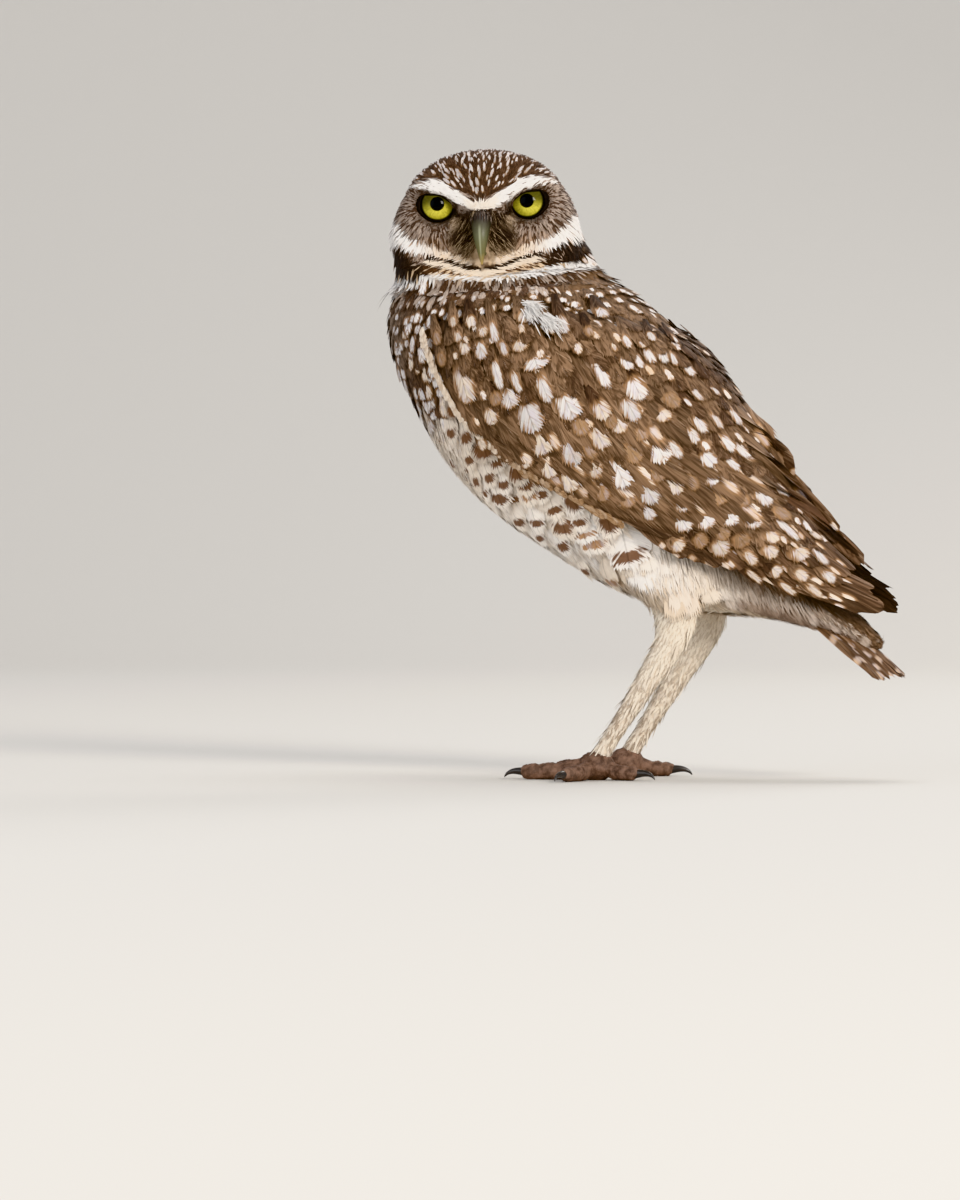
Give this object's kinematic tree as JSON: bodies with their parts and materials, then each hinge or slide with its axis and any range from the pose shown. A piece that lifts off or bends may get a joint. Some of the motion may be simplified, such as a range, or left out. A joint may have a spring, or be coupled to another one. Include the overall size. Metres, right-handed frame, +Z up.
{
  "type": "burrowing owl",
  "caption": "Still, life-size burrowing owl standing on long legs, its head turned over its left shoulder.",
  "frame": {"origin": "bottom centre of the owl's bounding box, on the floor it stands on", "axes": "+Z up, -X the way the breast points, -Y to the owl's left"},
  "size_m": [0.1798, 0.092, 0.2098],
  "materials": {
    "head_feathers": "matte",
    "body_feathers": "matte",
    "wing_feathers": "matte",
    "tail_feathers": "matte",
    "leg_feathers": "matte",
    "foot_skin": "rough",
    "bill_horn": "satin",
    "claw_horn": "satin",
    "eye_gloss": "gloss"
  },
  "bodies": {
    "root": {"head": "head_feathers", "eye_left": "eye_gloss", "eye_right": "eye_gloss", "bill_upper": "bill_horn", "bill_lower": "bill_horn", "neck": "body_feathers", "torso": "body_feathers", "tail": "tail_feathers", "wing_left": "wing_feathers", "wing_right": "wing_feathers", "thigh_left": "leg_feathers", "thigh_right": "leg_feathers", "shank_left": "leg_feathers", "shank_right": "leg_feathers", "foot_left": "foot_skin", "foot_right": "foot_skin", "claw_left_inner": "claw_horn", "claw_left_middle": "claw_horn", "claw_left_outer": "claw_horn", "claw_left_hind": "claw_horn", "claw_right_inner": "claw_horn", "claw_right_middle": "claw_horn", "claw_right_outer": "claw_horn", "claw_right_hind": "claw_horn"}
  },
  "joints": []
}
